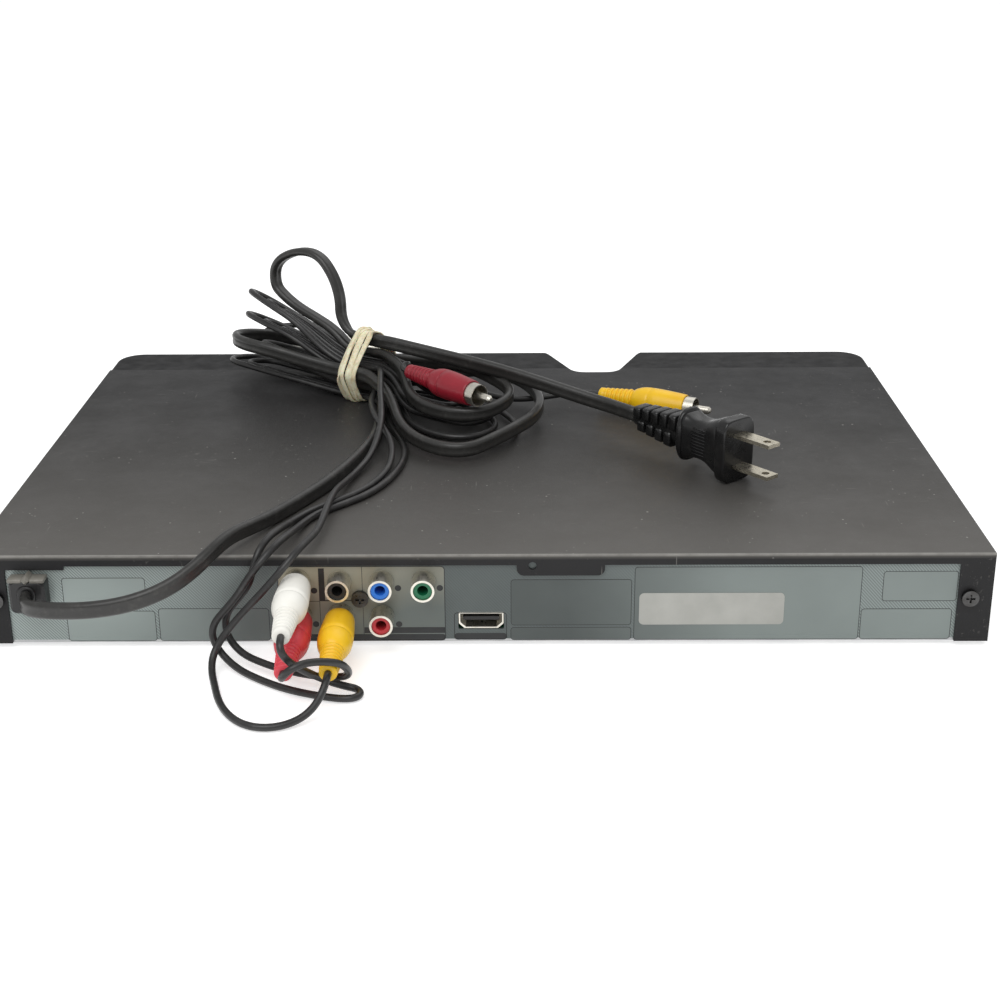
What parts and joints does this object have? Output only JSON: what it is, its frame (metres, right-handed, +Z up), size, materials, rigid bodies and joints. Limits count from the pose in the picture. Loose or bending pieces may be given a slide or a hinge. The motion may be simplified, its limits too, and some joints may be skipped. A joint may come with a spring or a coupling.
{
  "type": "dvd player",
  "caption": "Slim black disc player seen from behind: AV and HDMI sockets, tied mains cord and AV cable, sliding disc tray, drive with turntable and pickup.",
  "frame": {"origin": "on the table under the middle of the case, measured without the cords", "axes": "+Z up, front with the tray at -Y, rear panel with the sockets at +Y, +X to the viewer's left from behind"},
  "size_m": [0.36, 0.3109, 0.1005],
  "materials": {
    "black_sheet": "fine textured matt black paint",
    "plain_steel": "plain galvanised sheet",
    "case_black": "satin moulded black",
    "window_dark": "smoked gloss",
    "button_black": "satin",
    "panel_silver": "silver grey printed sheet",
    "black_plastic": "moulded",
    "foot_rubber": "matt",
    "soft_rubber": "matt",
    "band_cream": "dull stretched rubber",
    "mains_cord": "satin sheath",
    "av_cord": "satin sheath",
    "board": "lacquered board",
    "components": "mixed",
    "nickel": "nickel plated",
    "insert_red": "moulded",
    "insert_white": "moulded",
    "insert_yellow": "moulded",
    "insert_blue": "moulded",
    "insert_green": "moulded",
    "plug_white": "moulded, satin",
    "plug_red": "moulded, satin",
    "plug_yellow": "moulded, satin",
    "dark_screws": "blackened",
    "loader_grey": "moulded",
    "tray_black": "fine matt",
    "gear_white": "natural acetal",
    "motor_steel": "plated",
    "lens_glass": "coated lens",
    "ribbon_white": "flexible flat cable"
  },
  "bodies": {
    "case": {"chassis_pan": "plain_steel", "feet": "foot_rubber", "rear_panel": "panel_silver", "top_cover": "black_sheet", "front_bezel": "case_black", "display_window": "window_dark", "front_board": "board", "main_board": "board", "main_board_parts": "components", "power_board": "board", "transformer": "components", "power_capacitors": "components", "av_jack_block": "black_plastic", "av_jack_shells": "nickel", "jack_inserts_red": "insert_red", "jack_insert_white": "insert_white", "jack_insert_yellow": "insert_yellow", "jack_insert_blue": "insert_blue", "jack_insert_green": "insert_green", "hdmi_shell": "nickel", "hdmi_tongue": "black_plastic", "mains_gland": "black_plastic", "screws": "dark_screws", "loader_frame": "loader_grey", "clamp_bridge": "plain_steel", "loading_motor": "motor_steel", "drive_belt": "soft_rubber", "mains_cord_lead": "mains_cord", "mains_cord_hank": "mains_cord", "mains_cord_tail": "mains_cord", "mains_plug": "black_plastic", "plug_blades": "nickel", "av_plugs_white": "plug_white", "av_plugs_red": "plug_red", "av_plugs_yellow": "plug_yellow", "av_plug_contacts": "nickel", "av_leads": "av_cord", "av_hank": "av_cord", "av_tails": "av_cord", "rubber_bands": "band_cream", "inner_cables": "ribbon_white"},
    "tray": {"disc_tray": "tray_black", "tray_door": "case_black"},
    "tray_gear_body": {"tray_gear": "gear_white"},
    "pulley_gear_body": {"pulley_gear": "gear_white"},
    "motor_pulley_body": {"motor_pulley": "gear_white"},
    "cam": {"cam_slider": "gear_white"},
    "traverse": {"traverse_frame": "plain_steel", "rubber_dampers": "soft_rubber", "guide_rods": "motor_steel", "spindle_motor": "motor_steel", "sled_motor": "motor_steel"},
    "turntable_body": {"turntable": "black_plastic"},
    "clamper_body": {"clamper": "gear_white"},
    "pickup": {"pickup_body": "black_plastic", "pickup_lens": "lens_glass"},
    "sled_gear_body": {"sled_gear": "gear_white"},
    "power_key": {"power_button": "button_black"},
    "eject_key": {"eject_button": "button_black"},
    "play_key": {"play_button": "button_black"}
  },
  "joints": [
    {"name": "tray_slide", "type": "slide", "parent": "case", "child": "tray", "axis": [0, -1, 0], "range_m": [0, 0.132]},
    {"name": "tray_gear_turn", "type": "hinge", "parent": "case", "child": "tray_gear_body", "pos_m": [-0.006, -0.095, 0.01], "axis": [0, 0, -1], "range_deg": [0, 506]},
    {"name": "pulley_gear_turn", "type": "hinge", "parent": "case", "child": "pulley_gear_body", "pos_m": [-0.006, -0.074, 0.012], "axis": [0, 0, 1], "range_deg": [0, 1264]},
    {"name": "motor_turn", "type": "hinge", "parent": "case", "child": "motor_pulley_body", "pos_m": [-0.045, -0.104, 0.013], "axis": [0, 0, 1], "range_deg": [0, 3790]},
    {"name": "traverse_lift", "type": "hinge", "parent": "case", "child": "traverse", "pos_m": [-0.05, 0.038, 0.0125], "axis": [1, 0, 0], "range_deg": [0, 2.8]},
    {"name": "cam_slide", "type": "slide", "parent": "case", "child": "cam", "axis": [-1, 0, 0], "range_m": [0, 0.012]},
    {"name": "turntable_spin", "type": "hinge", "parent": "traverse", "child": "turntable_body", "pos_m": [-0.05, -0.055, 0.012], "axis": [0, 0, 1], "continuous": true},
    {"name": "clamper_spin", "type": "hinge", "parent": "case", "child": "clamper_body", "pos_m": [-0.05, -0.055, 0.022], "axis": [0, 0, 1], "continuous": true},
    {"name": "pickup_slide", "type": "slide", "parent": "traverse", "child": "pickup", "axis": [0, 1, 0], "range_m": [0, 0.033]},
    {"name": "sled_gear_turn", "type": "hinge", "parent": "traverse", "child": "sled_gear_body", "pos_m": [-0.0232, -0.002, 0.01], "axis": [0, 0, -1], "range_deg": [0, 297]},
    {"name": "power_press", "type": "slide", "parent": "case", "child": "power_key", "axis": [0, 1, 0], "range_m": [0, 0.0005], "stiffness_N_per_m": 200},
    {"name": "eject_press", "type": "slide", "parent": "case", "child": "eject_key", "axis": [0, 1, 0], "range_m": [0, 0.0005], "stiffness_N_per_m": 200},
    {"name": "play_press", "type": "slide", "parent": "case", "child": "play_key", "axis": [0, 1, 0], "range_m": [0, 0.0005], "stiffness_N_per_m": 200}
  ],
  "couplings": [
    {"joint": "tray_gear_turn", "follows": "tray_slide", "rad_per_m": 66.667},
    {"joint": "pulley_gear_turn", "follows": "tray_slide", "rad_per_m": 166.67},
    {"joint": "motor_turn", "follows": "tray_slide", "rad_per_m": 500},
    {"joint": "cam_slide", "follows": "traverse_lift", "m_per_rad": 0.24555},
    {"joint": "sled_gear_turn", "follows": "pickup_slide", "rad_per_m": 156.25}
  ]
}
